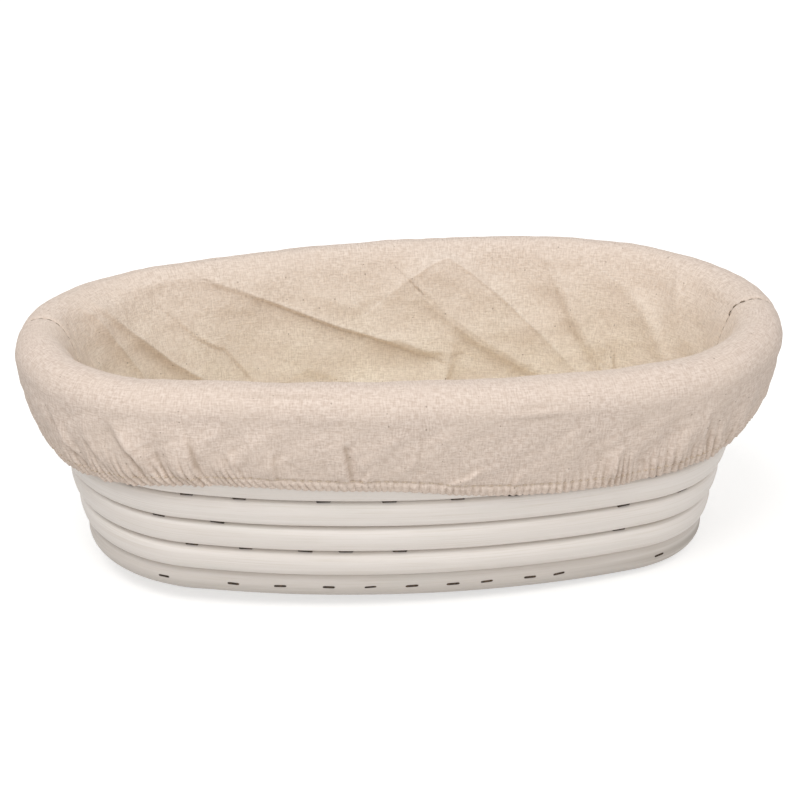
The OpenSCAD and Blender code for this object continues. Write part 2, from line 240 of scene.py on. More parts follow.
def wind(name, first, last, splice_first, splice_last, node, seed):
    """One length of the coil between two counts of turns."""
    rng = np.random.default_rng(seed)
    turn = np.linspace(first, last, int((last - first) * 520) + 1)
    angle = turn_angle(turn)
    x, y = oval(angle, growth(turn) - rim_growth)
    z = foot + rise(turn)
    along = np.concatenate([[0], np.cumsum(np.hypot(np.hypot(np.diff(x), np.diff(y)), np.diff(z)))])
    # the turns almost touch; the thickness wanders by a tenth of a millimetre
    fat = 5.27 + sum(
        rng.uniform(0.01, 0.03) * np.sin(2 * np.pi * along / rng.uniform(35, 260) + rng.uniform(0, 6))
        for _ in range(6)
    )
    fat *= 1 - 0.05 * np.exp(-along / 0.5) * (not splice_first) - 0.1 * np.exp(-(along[-1] - along) / 0.6) * (
        not splice_last
    )
    theta = np.linspace(0, 2 * np.pi, 36, endpoint=False)
    tilt = lean * np.clip(turn, 0, 1)
    # a slightly squared section, turned with the wall
    power = 2 + 1.1 * eased(turn, 0.7, 1.1)[:, None]
    squared = (np.abs(np.cos(theta)) ** power + np.abs(np.sin(theta)) ** power) ** (-1 / power)
    w = fat[:, None] * squared * np.cos(theta)
    h = fat[:, None] * squared * np.sin(theta)
    across = w * np.cos(tilt)[:, None] + h * np.sin(tilt)[:, None]
    upward = h * np.cos(tilt)[:, None] - w * np.sin(tilt)[:, None]
    left = np.where(turn <= rim_turn, 1, 1 - (rise(turn) - rim_rise) / (2 * cane_r))[:, None]
    across = across * (1 + left) / 2
    upward = (cane_r + upward) * left - cane_r
    # the slant of a splice slides the sections along the cane near its end
    splice_reach, splice_half = 26, 9
    near_first = np.clip(1 - along / splice_reach, 0, 1)[:, None] * splice_first
    near_last = np.clip(1 - (along[-1] - along) / splice_reach, 0, 1)[:, None] * splice_last
    slide = splice_half * upward / cane_r * (near_first + near_last) + 0.2 * (near_first**8 - near_last**8)
    rings = np.stack(
        [
            x[:, None] + across * np.cos(angle)[:, None] + slide * np.sin(angle)[:, None],
            y[:, None] + across * np.sin(angle)[:, None] - slide * np.cos(angle)[:, None],
            np.maximum(z[:, None] + upward, 0.0),
        ],
        -1,
    )
    uv = np.stack(np.broadcast_arrays(along[:, None] + 4000 * seed, theta * 5.3), -1)
    in_wall = np.clip(turn, 0, 1)[:, None]
    # painted shade in the grooves, darker on the upper side of a turn, under the turn above, than on the
    # lower; on the flat bottom it darkens both sides of each turn where the turns meet
    shade_near_grooves = np.maximum(np.sin(theta), -np.sin(theta) - 0.15)
    painted_shade_layer = shade_near_grooves * in_wall + np.abs(np.cos(theta)) ** 3 * (1 - in_wall)
    # painted shade all over the turn that stands on the table
    painted_shade_layer = np.maximum(painted_shade_layer, 0.82 * (1 - eased(turn, 0.8, 1.1))[:, None])
    return make_piece(
        name,
        rings.reshape(-1, 3),
        swept(rings),
        rattan,
        "basket",
        [node],
        uv.reshape(-1, 2),
        groove=painted_shade_layer.ravel(),
    )


first_turn = (max(pitch, bow + cane_r + 0.3) + rim_growth - b_mid) / pitch
last_turn = rim_turn + (2 * cane_r - 3) / (pitch * math.sin(climb))
wind("bottom_coil", first_turn + 0.02, -0.25, 0, 1, "base_cane", 1)
wind("lower_wall_coil", -0.25, 2.75, 1, 1, "wall_cane_lower", 2)
wind("middle_wall_coil", 2.75, 4.75, 1, 1, "wall_cane_middle", 3)
wind("upper_wall_coil", 4.75, last_turn, 1, 0, "wall_cane_upper", 4)

# Staples of dark steel wire, 5 mm wide, hold each turn to the one below. They are driven from the
# outside into the grooves, and round the foot through the lowest turn into the bottom.

# Drawn steel wire with a dark bronze lacquer: almost black, a little brown where it is worn, low gloss.
wire, tree = bare_material("lacquered_steel_wire")
spot = add(tree, "ShaderNodeTexCoord").outputs["Object"]
# scuffs about 1 mm across
scuff = add(tree, "ShaderNodeTexNoise", {"Vector": spot, "Scale": 900, "Detail": 3}).outputs["Fac"]
worn = add(tree, "ShaderNodeMapRange", {"Value": scuff, 1: 0.45, 2: 0.72}).outputs[0]
brown = add(
    tree, "ShaderNodeMix", {0: worn, 6: linear("#2E241D"), 7: linear("#5C4A3A")}, data_type="RGBA"
).outputs[2]
dull = add(tree, "ShaderNodeMapRange", {"Value": scuff, 1: 0.3, 2: 0.7, 3: 0.38, 4: 0.6}).outputs[0]
skin = add(tree, "ShaderNodeBsdfPrincipled", {"Base Color": brown, "Roughness": dull, "Metallic": 0.6})
add(tree, "ShaderNodeOutputMaterial", {"Surface": skin.outputs[0]})

# one bent staple: legs, rounded corners and crown, with the crown along X and the legs along -Y
half_crown, bend_r, wire_half_t, wire_half_w = 2.05, 0.7, 0.4, 0.43
bend = np.linspace(0, np.pi / 2, 6)
corner = np.stack([half_crown - bend_r + bend_r * np.cos(bend), -bend_r + bend_r * np.sin(bend)], 1)
half_staple = np.concatenate([[[0, 0], [0.7, 0.02]], corner[::-1], [[half_crown, -2.5], [half_crown, -5.5]]])
staple_path = np.concatenate([half_staple[:0:-1] * [-1, 1], half_staple])
staple_run = np.gradient(staple_path, axis=0)
staple_run /= np.linalg.norm(staple_run, axis=1)[:, None]
ring = np.linspace(0, 2 * np.pi, 10, endpoint=False)
# the wire is 0.8 by 0.86 mm, flattened by the gun
staple_rings = np.stack(
    [
        staple_path[:, None, 0] - staple_run[:, None, 1] * wire_half_t * np.cos(ring),
        staple_path[:, None, 1] + staple_run[:, None, 0] * wire_half_t * np.cos(ring),
        np.broadcast_to(wire_half_w * np.sin(ring), (len(staple_path), 10)),
    ],
    -1,
)
staple_faces = swept(staple_rings)
staple_points = staple_rings.reshape(-1, 3)
for node, name, shift in [
    ("base_staples", "bottom_staples", 0.3),
    ("foot_staples", "foot_row_staples", 0.55),
    ("splice_staples", "splice_pair_staples", 0.55),
    ("seam_staples_lower", "lower_groove_staples", 0.6),
    ("seam_staples_middle", "middle_groove_staples", 0.6),
    ("seam_staples_upper", "upper_groove_staples", 0.6),
]:
    rng = np.random.default_rng(len(name))
    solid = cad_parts[node].data
    co = np.empty(len(solid.vertices) * 3)
    solid.vertices.foreach_get("co", co)
    co, same = np.unique(np.round(co.reshape(-1, 3) * 1000, 3), axis=0, return_inverse=True)
    same = same.ravel()
    edge = np.empty(len(solid.edges) * 2, np.int32)
    solid.edges.foreach_get("vertices", edge)
    edge = same[edge].reshape(-1, 2)
    # points joined by edges are one staple
    label = np.arange(len(co))
    for _ in range(40):
        low = np.minimum(label[edge[:, 0]], label[edge[:, 1]])
        np.minimum.at(label, edge[:, 0], low)
        np.minimum.at(label, edge[:, 1], low)
    points, faces = [], []
    for one in np.unique(label):
        p = co[label == one]
        middle = p.mean(0)
        axes = np.linalg.svd(p - middle)[2]
        leg, crown = axes[0], axes[1]
        reach = (p - middle) @ leg
        # the tips of the legs have more corners than the crown
        if (reach > reach.max() - 0.05).sum() > (reach < reach.min() + 0.05).sum():
            leg, reach = -leg, -reach
        top = middle + leg * (reach.max() - 0.45)
        flat = leg * [1, 1, 0]
        out = leg if abs(leg[2]) > 0.8 else flat / np.linalg.norm(flat)
        turned = crown + np.cross(leg, crown) * rng.normal(0, 0.035)
        turned /= np.linalg.norm(turned)
        thin = np.cross(turned, leg)
        place = top + out * (shift + rng.normal(0, 0.06))
        long = 1 + rng.normal(0, 0.03)
        shape = staple_points * [long, 1, 1]
        faces += [[v + len(points) * len(staple_points) for v in f] for f in staple_faces]
        points.append(place + shape @ np.stack([turned, leg, thin]))
    make_piece(name, np.concatenate(points), faces, wire, "basket", [node])

# The liner is two panels of unbleached cloth, sewn together over both ends and along the bottom. It
# lies loose inside the basket, goes over the rim in a fat smooth roll, and hangs outside as a skirt.

# Unbleached cotton and linen in plain weave: ecru, with uneven threads both ways, brown flecks of
# husk, soft mottling from handling, and a dry surface with a faint nap.
cloth, tree = bare_material("unbleached_linen_cotton")
weave = add(tree, "ShaderNodeUVMap", uv_map="weave").outputs["UV"]
# threads are 0.45 mm apart; they are drawn 0.6 mm apart, the finest that still shows at this size
wobble = add(tree, "ShaderNodeTexNoise", {"Vector": weave, "Scale": 260, "Detail": 2}).outputs["Color"]
pulled = add(
    tree, "ShaderNodeVectorMath", {0: wobble, 1: (0.0011, 0.0011, 0), 2: weave}, operation="MULTIPLY_ADD"
).outputs[0]
threads = add(
    tree, "ShaderNodeVectorMath", {0: pulled, 1: (math.pi / 0.0006,) * 3}, operation="MULTIPLY"
).outputs[0]
counted = add(tree, "ShaderNodeSeparateXYZ", {0: threads})
warp = add(tree, "ShaderNodeMath", {0: counted.outputs["X"]}, operation="SINE").outputs[0]
weft = add(tree, "ShaderNodeMath", {0: counted.outputs["Y"]}, operation="SINE").outputs[0]
crossed = add(tree, "ShaderNodeMath", {0: warp, 1: weft}, operation="MULTIPLY").outputs[0]
# slubs: thick places about 2.4 mm long in single threads, both ways
slub_place = add(tree, "ShaderNodeVectorMath", {0: weave, 1: (420, 1900, 1)}, operation="MULTIPLY").outputs[0]
slub_weft = add(tree, "ShaderNodeTexNoise", {"Vector": slub_place, "Scale": 1, "Detail": 2}).outputs["Fac"]
slub_place = add(tree, "ShaderNodeVectorMath", {0: weave, 1: (1900, 420, 1)}, operation="MULTIPLY").outputs[0]
slub_warp = add(tree, "ShaderNodeTexNoise", {"Vector": slub_place, "Scale": 1, "Detail": 2}).outputs["Fac"]
slubs = add(tree, "ShaderNodeMath", {0: slub_weft, 1: slub_warp}, operation="ADD").outputs[0]
slub_part = add(tree, "ShaderNodeMapRange", {"Value": slubs, 1: 0.78, 2: 1.22}).outputs[0]
cross_part = add(tree, "ShaderNodeMapRange", {"Value": crossed, 1: -0.9, 2: 0.9, 3: 0, 4: 0.08}).outputs[0]
mottle = add(tree, "ShaderNodeTexNoise", {"Vector": weave, "Scale": 55, "Detail": 4}).outputs["Fac"]
mottle_part = add(tree, "ShaderNodeMapRange", {"Value": mottle, 1: 0.35, 2: 0.7, 3: 0, 4: 0.35}).outputs[0]
# flecks 0.3 to 0.6 mm across, one to about a square centimetre
fleck = add(tree, "ShaderNodeTexVoronoi", {"Vector": weave, "Scale": 170}, voronoi_dimensions="2D")
rare = add(tree, "ShaderNodeSeparateColor", {0: fleck.outputs["Color"]}).outputs["Red"]
fleck_size = add(tree, "ShaderNodeMapRange", {"Value": rare, 1: 0.7, 2: 1, 3: 0, 4: 0.055}).outputs[0]
fleck_part = add(
    tree, "ShaderNodeMath", {0: fleck.outputs["Distance"], 1: fleck_size}, operation="LESS_THAN"
).outputs[0]
fleck_part = add(tree, "ShaderNodeMath", {0: fleck_part, 1: 0.5}, operation="MULTIPLY").outputs[0]
ecru = add(
    tree, "ShaderNodeMix", {0: slub_part, 6: linear("#CCB9AB"), 7: linear("#E8D8CC")}, data_type="RGBA"
).outputs[2]
# the inside, above the bottom and below the rim, is painted paler and yellower: painted light in place of the
# light that reaches the inside
depth = add(tree, "ShaderNodeSeparateXYZ", {0: weave}).outputs["Y"]
inside = add(tree, "ShaderNodeMapRange", {"Value": depth, 1: 0.03, 2: 0.086, 3: 0.95, 4: 0}).outputs[0]
pale = add(
    tree, "ShaderNodeMix", {0: slub_part, 6: linear("#DFD3C0"), 7: linear("#FAF0DE")}, data_type="RGBA"
).outputs[2]
inside_painted_light = add(
    tree, "ShaderNodeMix", {0: inside, 6: ecru, 7: pale}, data_type="RGBA"
).outputs[2]
handled = add(
    tree, "ShaderNodeMix", {0: mottle_part, 6: inside_painted_light, 7: linear("#DCCBBC")}, data_type="RGBA"
).outputs[2]
woven = add(
    tree, "ShaderNodeMix", {0: cross_part, 6: handled, 7: linear("#C6B3A2")}, data_type="RGBA"
).outputs[2]
# painted shade in the bottoms of the folds, darkened towards #A38F7B
hollow = add(tree, "ShaderNodeAttribute", attribute_name="groove").outputs["Fac"]
painted_fold_shade = add(tree, "ShaderNodeMapRange", {"Value": hollow, 1: 0.08, 2: 1, 3: 0, 4: 0.5}).outputs[0]
woven = add(
    tree, "ShaderNodeMix", {0: painted_fold_shade, 6: woven, 7: linear("#A38F7B")}, data_type="RGBA"
).outputs[2]
flecked = add(
    tree, "ShaderNodeMix", {0: fleck_part, 6: woven, 7: linear("#6E5A47")}, data_type="RGBA"
).outputs[2]
nap = add(tree, "ShaderNodeTexNoise", {"Vector": weave, "Scale": 1500, "Detail": 2}).outputs["Fac"]
high = add(tree, "ShaderNodeMath", {0: crossed, 1: 0.12, 2: slubs}, operation="MULTIPLY_ADD").outputs[0]
high = add(tree, "ShaderNodeMath", {0: nap, 1: 0.5, 2: high}, operation="MULTIPLY_ADD").outputs[0]
ridges = add(tree, "ShaderNodeBump", {"Strength": 0.5, "Distance": 0.0003, "Height": high}).outputs[0]
dry = add(tree, "ShaderNodeMapRange", {"Value": nap, 1: 0.3, 2: 0.7, 3: 0.82, 4: 0.95}).outputs[0]
skin = add(
    tree,
    "ShaderNodeBsdfPrincipled",
    {
        "Base Color": flecked,
        "Roughness": dry,
        "Normal": ridges,
        "IOR": 1.45,
        "Specular IOR Level": 0.25,
        "Sheen Weight": 0.08,
        "Sheen Roughness": 0.5,
    },
)
add(tree, "ShaderNodeOutputMaterial", {"Surface": skin.outputs[0]})


def wall_out(z):
    """How far out the middle of the wall stands at a height."""
    return float(growth(np.array(0.0))) - rim_growth + (z - foot) * math.tan(lean)


def crumple(u, v, size, seed):
    """A smooth random relief of about unit height, with waves of about the given size."""
    rng = np.random.default_rng(seed)
    total = 0
    for _ in range(9):
        heading, length = rng.uniform(0, 2 * np.pi), size * rng.uniform(0.7, 1.5)
        total = total + np.sin(
            2 * np.pi * (u * math.cos(heading) + v * math.sin(heading)) / length + rng.uniform(0, 6.3)
        )
    return total / 3


def fold_line(u, v, line, height, soft_left, soft_right, curl=1.6):
    """A ridge along a line of places on the cloth, steeper on one side than on the other."""
    line = np.asarray(line, float)
    best = np.full(u.shape, 1e9)
    side = np.ones(u.shape)
    share = np.zeros(u.shape)
    lengths = np.concatenate([[0], np.cumsum(np.hypot(*np.diff(line, axis=0).T))])
    for k in range(len(line) - 1):
        (ax, ay), (bx, by) = line[k], line[k + 1]
        dx, dy = bx - ax, by - ay
        s = np.clip(((u - ax) * dx + (v - ay) * dy) / (dx * dx + dy * dy), 0, 1)
        far = np.hypot(u - ax - s * dx, v - ay - s * dy)
        near = far < best
        best = np.where(near, far, best)
        side = np.where(near, np.sign(dx * (v - ay) - dy * (u - ax)), side)
        share = np.where(near, (lengths[k] + s * (lengths[k + 1] - lengths[k])) / lengths[-1], share)
    soft = np.where(side > 0, soft_left, soft_right)
    taper = np.sin(np.pi * np.clip(share * 0.86 + 0.07, 0, 1)) ** 0.7
    return height * taper * np.exp(-((best / soft) ** curl))


# height of the hem edge along the front, left to right, and along the back: millimetres from the middle
hem_places = [-153, -115, -103, -82, -60, -38, -18, -2, 15, 38, 66, 83, 103, 117, 153]
hem_front = [47.5, 48.1, 48.9, 52.4, 53.6, 52.3, 51.6, 50.6, 47.8, 45.6, 44.6, 45.4, 46.9, 47.0, 46.5]
hem_back = [47.5, 47.0, 46.8, 47.5, 49.0, 50.5, 51.0, 50.2, 49.0, 48.0, 47.5, 46.6, 46.0, 46.2, 46.5]

# how far the top of the rim roll is above or below its mean height, at the same places
rim_front = [-0.5, 0.2, 0.4, 1.2, 1.8, 2.1, 2.1, 1.9, 1.2, 0.3, -1.0, -1.2, -1.8, -1.6, -1.0]
rim_back = [-0.5, -1.6, -2.0, -2.0, -1.8, -1.5, -1.1, -0.8, -0.4, 0.5, 0.7, 0.4, -0.9, -1.3, -1.0]

# folds seen on the far wall: places from its middle and heights, height of the ridge, softness of each side
back_folds = [
    ([(-79, 67), (-71.6, 59.2), (-65, 54.9), (-61, 53.5), (-52.3, 42.7), (-46, 34)], 1.28, 8, 0.576, 1),
    ([(-126, 84), (-117.8, 74.6), (-101, 52.8), (-93, 40)], 2.3, 6, 2.88, 1.35),
    ([(-119, 82), (-97, 63.3), (-82.2, 52.5), (-70.8, 44.8), (-58, 34)], 3.1, 9, 2.6, 1.35),
    ([(-62, 77), (-44.7, 70), (-31.6, 64.2), (-16.5, 57.6), (-1.4, 52.8), (13.7, 46.9)], 2.4, 10, 1.73, 1.15),
    ([(-102, 80), (-88.4, 79.4), (-78.9, 80.2), (-68.4, 79.9), (-56.9, 75.3)], 2.1, 6, 2.0, 1.35),
    ([(0, 66), (9.9, 73.1), (17.6, 77.5), (24.2, 79.9)], 2.1, 2.6, 7, 1.35),
    ([(22, 81), (32.3, 75.7), (43.7, 67.8), (60.8, 53.5), (74.4, 40.6), (82, 33)], 4.4, 3.4, 13, 1.3),
    ([(16.7, 66.6), (23.1, 60.5), (36.4, 51.1), (51.6, 43.1), (61.1, 39.2), (70, 33)], 3.6, 9, 2.7, 1.3),
    ([(-4, 53), (6.2, 51.8), (15.5, 47.6), (25, 46.6)], 2.3, 5, 2.0, 1.3),
    ([(27, 53), (25.9, 45.2), (23.8, 38.1), (20, 30)], 2.4, 1.8, 5, 1.2),
    ([(60.5, 80.2), (65.9, 70.8), (73.8, 56.2), (81.8, 45.2), (86, 40)], 3.5, 8, 2.6, 1.35),
    ([(84, 52), (88.6, 47.3), (90, 42.4), (88, 34)], 2.08, 0.72, 5, 1),
    ([(88, 73.5), (100.1, 66.6), (111.7, 58.5), (117.9, 50.8), (119, 42)], 2.5, 2.2, 8, 1.35),
    ([(112, 82), (117.5, 73), (119, 64)], 0.8, 2.16, 4, 1.45),
    ([(-66, 81.5), (-57, 84)], 0.96, 3, 2.16, 1.35),
    ([(-26, 70), (-12.6, 64.2), (-1.3, 68.5)], 0.96, 5, 2.88, 1.45),
    ([(-30, 44), (-10, 36), (14, 30)], 1.44, 6, 2.88, 1.35),
    ([(40, 34), (52, 24), (70, 18)], 1.44, 5, 2.88, 1.35),
    ([(-100, 38), (-84, 26), (-70, 18)], 1.44, 5, 2.88, 1.35),
]
# thin lines pressed into the cloth beside them: places, and how far they stand up or sink in
back_lines = [
    ([(-79, 67), (-71.6, 59.2), (-65, 54.9), (-61, 53.5), (-52.3, 42.7), (-46, 34)], -0.9),
    ([(-64, 77.8), (-44.7, 70), (-31.6, 64.2), (-16.5, 57.6), (-1.4, 52.8), (13.7, 46.9)], 0.4),
    ([(-44.4, 68.6), (-31.3, 62.8), (-16.2, 56.2), (-1.1, 51.4), (13.4, 45.5)], -0.5),
    ([(-119, 80), (-97, 63.3), (-82.2, 52.5), (-70.8, 44.8), (-58, 34)], 0.35),
    ([(-124, 82), (-117.8, 74.6), (-101, 52.8), (-93, 40)], 0.3),
    ([(9.9, 73.1), (17.6, 77.5), (24.2, 79.9), (32.3, 75.7), (43.7, 67.8), (60.8, 53.5), (74.4, 40.6)], 0.45),
    ([(16.7, 66.6), (23.1, 60.5), (36.4, 51.1), (51.6, 43.1), (61.1, 39.2)], -0.6),
    ([(26.9, 52.2), (25.9, 45.2), (23.8, 38.1)], -0.5),
    ([(61.1, 80.2), (65.9, 70.8), (73.8, 56.2), (81.8, 45.2), (88.1, 42.7)], -0.5),
    ([(85.4, 51.1), (89.1, 47.3), (90.6, 42.4)], -0.8),
    ([(88.9, 72.9), (100.1, 66.6), (111.7, 58.5), (117.9, 50.8)], -0.35),
    ([(-88.4, 80.1), (-78.9, 80.2), (-68.4, 79.9), (-56.9, 75.3)], -0.35),
]
# the near wall has folds of the same kind
front_folds = [
    ([(-118, 74), (-100, 58), (-86, 40), (-78, 24)], 1.76, 7, 2.45, 1.35),
    ([(-84, 76), (-62, 64), (-40, 58), (-22, 47)], 2.08, 8, 2.45, 1.25),
    ([(-60, 44), (-44, 36), (-34, 22)], 1.52, 5, 2.16, 1.25),
    ([(-18, 78), (-6, 66), (14, 50), (28, 36)], 2.08, 9, 2.59, 1.25),
    ([(4, 44), (20, 52), (36, 54)], 1.28, 2.16, 6, 1.35),
    ([(44, 78), (54, 62), (70, 46), (76, 30)], 2.08, 2.88, 9, 1.25),
    ([(62, 30), (84, 36), (100, 48), (112, 66)], 1.76, 6, 2.88, 1.35),
    ([(-6, 34), (10, 26), (30, 20)], 1.44, 5, 2.88, 1.35),
]
# creases on the skirt in front: places from the middle, and millimetres above the hem edge
front_creases = [
    ([(-121, 21), (-116, 12), (-110, 4)], 0.9, 2.4, 1.2, 1.4),
    ([(-108, 17), (-103, 8)], 0.6, 2, 1.2, 1.4),
    ([(-96, 19), (-91, 12), (-88, 4)], 1.2, 3.2, 1.4, 1.4),
    ([(-75.5, 18), (-74.5, 11), (-73, 3)], 1.1, 1.3, 3.0, 1.4),
    ([(-62, 13), (-60, 5)], 0.8, 2.4, 1.6, 1.4),
    ([(-49, 12), (-48, 3)], 0.8, 1.6, 2.4, 1.4),
    ([(-27, 18), (-25.5, 10), (-24.5, 2)], 0.9, 1.1, 2.4, 1.3),
    ([(-17, 8), (-20, 2)], 0.6, 1.6, 1.6, 1.4),
    ([(-3, 17), (-4, 8)], 0.5, 1.4, 2.6, 1.4),
    ([(18, 10), (13, 6), (6, 3)], 0.7, 2, 1.4, 1.4),
    ([(-70, 29.4), (-58, 30.4), (-40, 31.2), (-22, 31.6)], 0.6, 0.8, 2.0, 1.4),
    ([(26, 30.6), (36, 31.4), (46, 31.6)], 0.5, 0.8, 2.0, 1.4),
    ([(31, 8), (29, 3)], 0.5, 1.4, 1.4, 1.4),
    ([(64, 14), (62.5, 8), (62, 3)], 0.6, 1.6, 2.0, 1.4),
    ([(83, 12), (83, 6), (84, 3)], 0.6, 1.6, 1.8, 1.4),
    ([(94, 20), (94.5, 12), (96, 4)], 0.7, 1.7, 2.2, 1.4),
]
# the skirt at the back has creases like them, the other way round
back_creases = [
    ([(9 - place, up) for place, up in line], 0.85 * height, right, left, curl)
    for line, height, left, right, curl in front_creases
]

# millimetres: the cloth's distance from the middle of a cane, that of the hem with the elastic inside it,
# the distance inside the middle of the wall, the line of stitches and the band above the edge of the hem
cloth_room, hem_room, wall_gap, stitch_up, band_up = 6.4, 7.5, 6.45, 3.3, 1.75
columns = 840
loop = np.linspace(0, 1, 2 * columns + 1)
blur = np.hanning(91) / np.hanning(91).sum()


def round_the_rim(front, back):
    """Values at the same places along the front and the back, as a smooth function of the turn."""
    values = np.where(
        loop <= 0.5,
        np.interp((0.25 - loop) * turn_len, hem_places, front),
        np.interp((loop - 0.75) * turn_len, hem_places, back),
    )
    values = np.convolve(np.concatenate([values[-91:-1], values, values[1:91]]), blur, "same")[90:-90]
    return lambda turn: np.interp(np.mod(turn, 1.0), loop, values)


hem_height = round_the_rim(hem_front, hem_back)
rim_height = round_the_rim(rim_front, rim_back)


def off_the_cane(turn, out, z, room):
    """Moves places on the cloth that are too near the cane away from it."""
    for below in range(-2, 8):
        at = turn + below
        left = np.where(at <= rim_turn, 1, np.clip(1 - (rise(at) - rim_rise) / (2 * cane_r), 0.25, 1))
        mid_out, mid_z = growth(at) - rim_growth, foot + rise(at) - cane_r * (1 - left)
        wide, tall = (1 + left) / 2, left
        far_out, far_z = (out - mid_out) / wide, (z - mid_z) / tall
        far = np.hypot(far_out, far_z)
        push = np.where((far < room) & (at < last_turn), room / np.maximum(far, 0.1), 1)
        out, z = mid_out + far_out * push * wide, mid_z + far_z * push * tall
    return out, z


def softened(values):
    """Means over about three millimetres each way on the cloth."""
    for axis in (0, 1):
        values = sum(np.roll(values, k, axis) for k in range(-4, 5)) / 9
    return values


def hem_out(turn):
    """How far out the edge of the hem stands, clear of the cane with its inner layer and the elastic."""
    hem = hem_height(turn)
    out = wall_out(hem) + 7.3
    for up in (0, 1.2, 2.4, 3.6, 4.8, 0, 1.2, 2.4, 3.6, 4.8):
        clear = off_the_cane(turn, out + up * math.tan(lean), hem + up, hem_room)[0]
        out = np.maximum(out, clear - up * math.tan(lean))
    return out


def panel_surface(turn, along, folds, pressed, creases, slack_in, seed):
    """Rows of the cloth from the bottom seam to the turned-in edge of the hem.

    Gives the points, their places on the flat cloth, and how deep in a fold each one lies. At the long
    sides the slack cloth reaches in from the rim by slack_in more than at the ends.
    """
    angle = turn_angle(turn)
    sideways = np.sin(angle) ** 2
    seam_far = np.minimum(np.abs(along - along[0]), np.abs(along - along[-1]))
    right_end = eased(along, 60, 150)
    left_end = eased(-along, 60, 150)
    roll_out = 0.3 - 2.1 * sideways + 1.6 * right_end + 0.6 * left_end
    roll_z, roll_r = 76.2 + rim_height(turn), 8.4
    hem = hem_height(turn)
    rows = []
    # the bottom edge of the wall, rounded into the bottom
    corner_end, corner_w, corner_h, bottom_z = math.radians(76), 6.5, 5.65, 10.85
    for f in np.linspace(0, 1, 9):
        corner_turn = f * corner_end
        corner_in = corner_w - corner_w * math.sin(corner_turn) / math.sin(corner_end)
        corner_up = corner_h * (1 - math.cos(corner_turn)) / (1 - math.cos(corner_end))
        rows.append((wall_out(16.5) - wall_gap - corner_in + 0 * turn, bottom_z + corner_up + 0 * turn, 0))
    # up the wall, then slack from it to the top of the rim
    leave_z = 36.0
    for z in np.linspace(17.2, leave_z, 20)[:-1]:
        rows.append((wall_out(z) - wall_gap + 0 * turn, z + 0 * turn, 1))
    leave_out = wall_out(leave_z) - wall_gap
    hang = [
        (leave_out, leave_z),
        (leave_out + 24 * math.sin(lean), leave_z + 24 * math.cos(lean)),
        (roll_out - 13 - slack_in * sideways, roll_z + roll_r),
        (roll_out, roll_z + roll_r),
    ]
    for s in np.linspace(0, 1, 121)[:-1]:
        part = [(1 - s) ** 3, 3 * s * (1 - s) ** 2, 3 * s * s * (1 - s), s**3]
        rows.append((sum(a * h[0] for a, h in zip(part, hang)), sum(a * h[1] for a, h in zip(part, hang)), 1))
    for f in np.linspace(90, -6, 18):
        bow_part = math.radians(f)
        rows.append((roll_out + roll_r * math.cos(bow_part), roll_z + roll_r * math.sin(bow_part), 2))
    # the skirt hangs to the hem and stands out most at the right end
    top_out, top_z = rows[-1][0], rows[-1][1]
    low_out = hem_out(turn)
    bulge = 0.9 + 0.9 * right_end + 1.2 * np.exp(-(((along + 95) / 55) ** 2))
    for s in 1 - (1 - np.linspace(0, 1, 64)[1:]) ** 1.2:
        rows.append(
            (
                top_out + (low_out - top_out) * s + bulge * 4 * s * (1 - s) * (0.6 + 0.8 * s),
                top_z + (hem - top_z) * s,
                3,
            )
        )
    # the edge is turned in round the elastic
    turn_r, turned_in = 0.65, 4.6
    for f in np.linspace(-30, -180, 6):
        bow_part = math.radians(f)
        rows.append((low_out - turn_r + turn_r * math.cos(bow_part), hem + turn_r * math.sin(bow_part), 4))
    for s in np.linspace(0.15, 1, 6):
        rows.append((low_out - 2 * turn_r + turned_in * s * math.tan(lean), hem + turned_in * s, 5))
    out = np.stack([r[0] for r in rows])
    z = np.stack([r[1] for r in rows])
    # 0 corner of the bottom, 1 wall, 2 rim, 3 skirt, 4 edge of the hem, 5 turned-in layer
    kind = np.array([r[2] for r in rows])[:, None]
    u = np.broadcast_to(along, out.shape)
    step_out, step_z = np.gradient(out, axis=0), np.gradient(z, axis=0)
    step = np.hypot(step_out, step_z)
    face_out, face_z = -step_z / step, step_out / step
    row_steps = np.hypot(np.diff(out, axis=0), np.diff(z, axis=0))
    v = np.concatenate([0 * turn[None], np.cumsum(row_steps, axis=0)])
    above = z - hem

    # inside: the folds, and the slack of cloth that was never pressed
    near_top = eased(z, roll_z + roll_r - 6.5, roll_z + roll_r)
    slack = 0
    for line, height, left, right, curl in folds:
        slack = slack + fold_line(u, z, line, height, left, right, curl)
    for line, height in pressed:
        slack = slack + fold_line(u, z, line, height, 0.6, 0.6, 1.6)
    slack = slack + 0.5 * crumple(u, z, 32, seed) + 0.2 * crumple(u, z, 13, seed + 1)
    slack = slack + 0.06 * crumple(u, z, 5, seed + 9)
    # fine creases that run through it, from the cloth having been crushed
    slack = slack - 0.3 * np.abs(crumple(u, z, 40, seed + 13)) - 0.16 * np.abs(crumple(u, z, 19, seed + 14))
    move = (kind <= 1) * eased(z, 10.5, 15) * slack * (1 - 0.85 * near_top)
    # over the rim: almost smooth
    skirt_top = eased(top_z - z, -1, 6)
    over = (kind == 2) + (kind == 1) * near_top + (kind == 3) * (1 - eased(top_z - z, 0, 8))
    move = move + over * (0.2 * crumple(u, v, 30, seed + 2) + 0.05 * crumple(u, v, 7, seed + 10))
